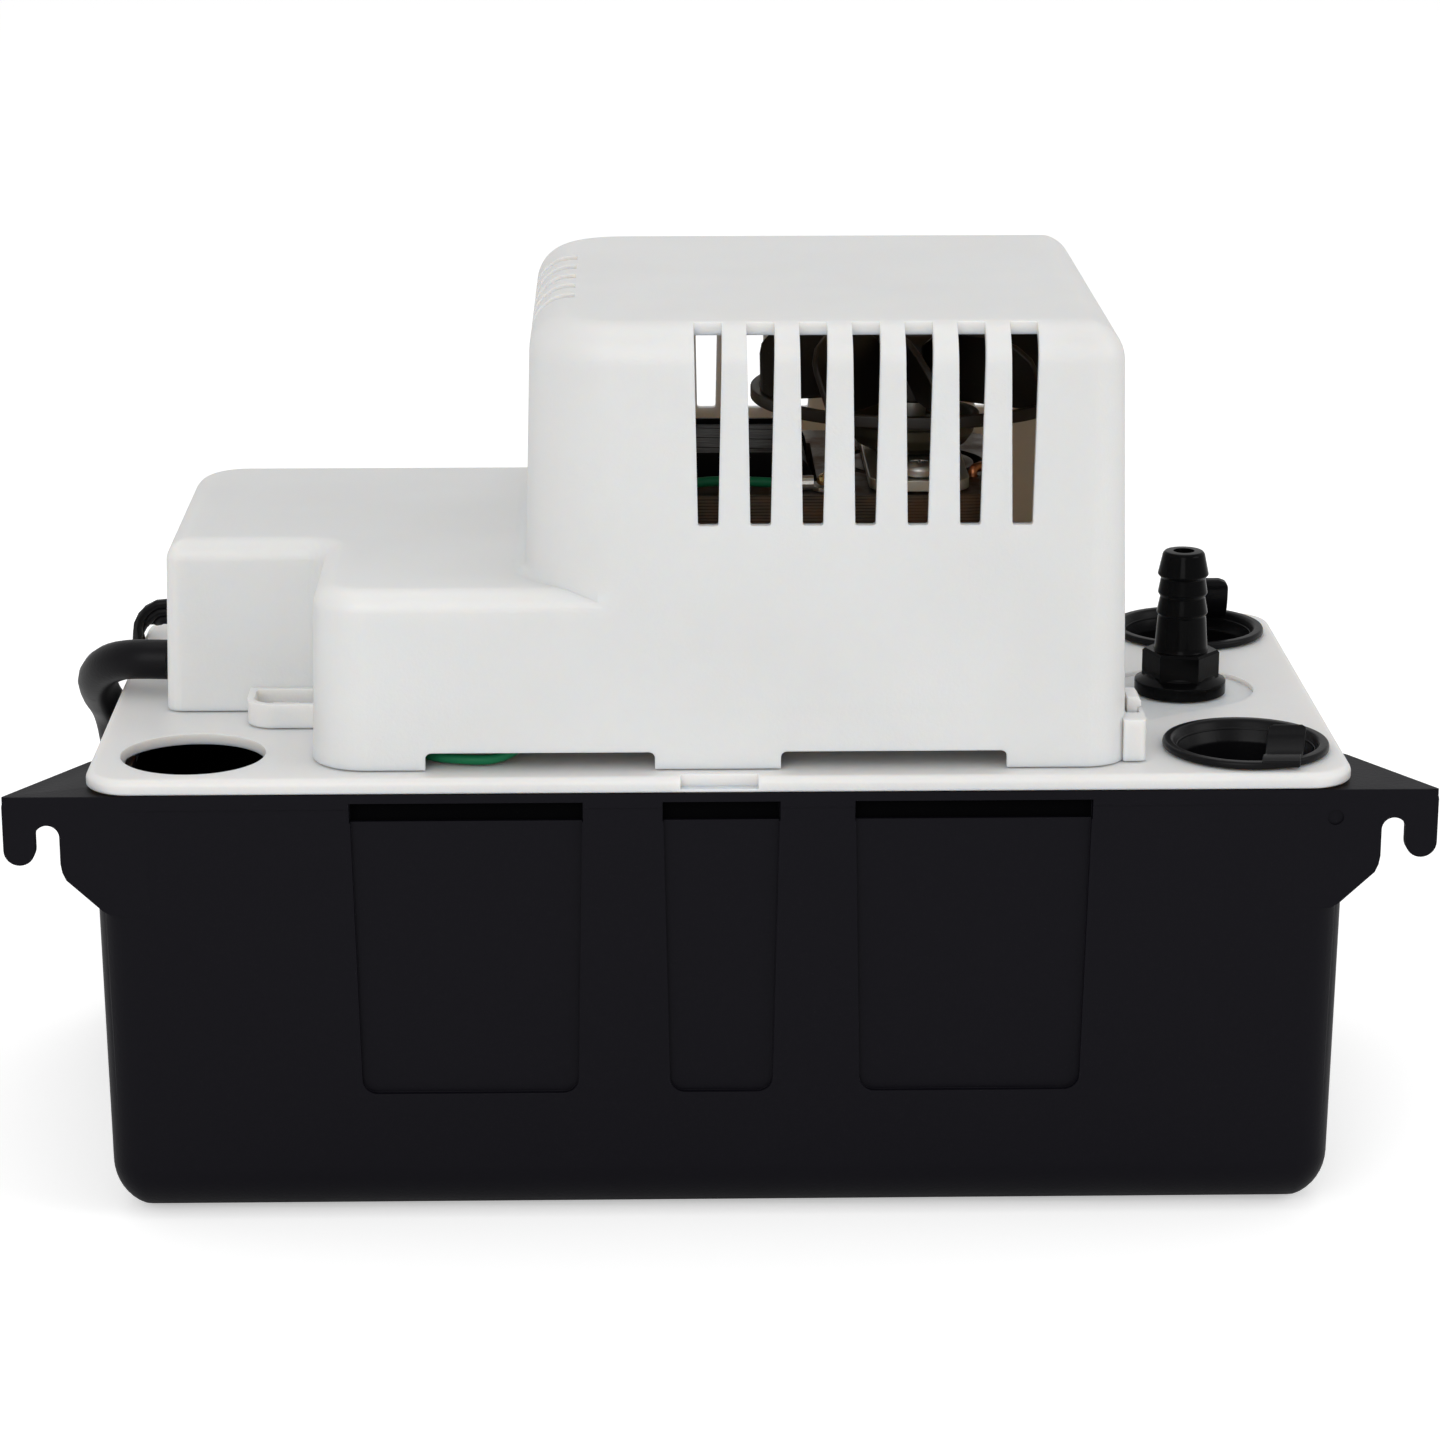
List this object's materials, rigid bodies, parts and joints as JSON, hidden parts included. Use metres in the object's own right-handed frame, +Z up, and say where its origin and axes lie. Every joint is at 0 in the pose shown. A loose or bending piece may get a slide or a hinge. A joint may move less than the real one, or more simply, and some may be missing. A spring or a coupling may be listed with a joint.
{
  "type": "condensate removal pump",
  "caption": "Tank-type condensate pump: black tank with hanging ears, white deck and louvred motor cover, barbed check-valve outlet, inlet plugs, float switch and mains cord.",
  "frame": {"origin": "centre of the underside of the tank's bounding box, on the floor it stands on", "axes": "+X along the tank toward the discharge fitting, +Y from the front with the hanging ears to the back, +Z up"},
  "size_m": [0.2794, 0.2435, 0.1797],
  "materials": {
    "tank": "black moulded polypropylene, satin",
    "deck": "white moulded ABS, satin",
    "cover": "white moulded ABS, fine satin",
    "plug": "black soft plastic",
    "fitting": "black nylon",
    "white_plastic": "white acetal",
    "float": "grey closed-cell foam",
    "steel": "zinc-plated steel",
    "laminations": "oiled steel laminations",
    "bearing": "die-cast bearing cup",
    "copper": "bare copper",
    "brass": "plain brass",
    "tape": "black insulating tape",
    "fan": "dark brown moulded plastic",
    "rubber": "black rubber",
    "hose": "clear vinyl, milky",
    "switch": "black phenolic",
    "button": "red plastic",
    "cord": "black PVC jacket",
    "lead": "black PVC insulation",
    "green": "green PVC insulation",
    "white_wire": "white PVC insulation"
  },
  "bodies": {
    "pump_body": {"tank": "tank", "deck": "deck", "motor_cover": "cover", "stator_core": "laminations", "coil_bobbin": "white_plastic", "coil_winding": "tape", "upper_bracket": "steel", "lower_bracket": "steel", "upper_bearing": "bearing", "lower_bearing": "bearing", "motor_screw_front": "steel", "motor_screw_rear": "steel", "shading_ring_left": "copper", "shading_ring_right": "copper", "pump_column": "white_plastic", "volute": "white_plastic", "volute_plate": "white_plastic", "column_screw_left": "steel", "column_screw_right": "steel", "discharge_hose": "hose", "discharge_fitting": "fitting", "fitting_nut": "fitting", "fitting_o_ring": "rubber", "check_seat": "fitting", "check_spring": "steel", "float_pin": "steel", "pump_switch": "switch", "safety_switch": "switch", "switch_screw_1": "steel", "switch_screw_2": "steel", "strain_relief": "rubber", "power_cord": "cord", "power_cord_coil": "cord", "power_cord_tail": "cord", "mains_plug": "cord", "prong_line": "brass", "prong_neutral": "brass", "prong_ground": "brass", "alarm_lead": "lead", "ground_wire": "green", "ring_terminal": "steel", "ground_screw": "steel", "motor_lead_neutral": "white_wire", "motor_lead_switched": "lead"},
    "rotor_body": {"rotor": "laminations", "shaft": "steel", "fan": "fan", "impeller": "white_plastic", "slinger": "rubber"},
    "float_body": {"float": "float", "float_arm": "white_plastic"},
    "lever_body": {"pump_switch_lever": "steel"},
    "pump_button_body": {"pump_switch_button": "button"},
    "safety_button_body": {"safety_switch_button": "button"},
    "check_body": {"check_poppet": "white_plastic"},
    "front_plug_body": {"inlet_plug_front": "plug"},
    "rear_plug_body": {"inlet_plug_rear": "plug"}
  },
  "joints": [
    {"name": "rotor_spin", "type": "hinge", "parent": "pump_body", "child": "rotor_body", "pos_m": [0.04, 0, 0.13], "axis": [0, 0, 1], "continuous": true},
    {"name": "float_swing", "type": "hinge", "parent": "pump_body", "child": "float_body", "pos_m": [-0.07, 0.02, 0.083], "axis": [0, -1, 0], "range_deg": [0, 22]},
    {"name": "switch_lever_turn", "type": "hinge", "parent": "pump_body", "child": "lever_body", "pos_m": [-0.0875, 0.008, 0.09995], "axis": [0, 0, 1], "range_deg": [0, 17.4]},
    {"name": "pump_button_press", "type": "slide", "parent": "pump_body", "child": "pump_button_body", "axis": [-1, 0, 0], "range_m": [0, 0.0019]},
    {"name": "safety_button_press", "type": "slide", "parent": "pump_body", "child": "safety_button_body", "axis": [-1, 0, 0], "range_m": [0, 0.002], "stiffness_N_per_m": 150, "springref_m": -0.0005},
    {"name": "check_valve_lift", "type": "slide", "parent": "pump_body", "child": "check_body", "axis": [0, 0, 1], "range_m": [0, 0.003], "stiffness_N_per_m": 40, "springref_m": -0.002, "deforming": ["check_spring"]},
    {"name": "front_plug_lift", "type": "slide", "parent": "pump_body", "child": "front_plug_body", "axis": [0, 0, 1], "range_m": [0, 0.02]},
    {"name": "rear_plug_lift", "type": "slide", "parent": "pump_body", "child": "rear_plug_body", "axis": [0, 0, 1], "range_m": [0, 0.02]}
  ],
  "couplings": [
    {"joint": "switch_lever_turn", "follows": "float_swing", "ratio": 0.78},
    {"joint": "pump_button_press", "follows": "float_swing", "m_per_rad": 0.0047}
  ]
}
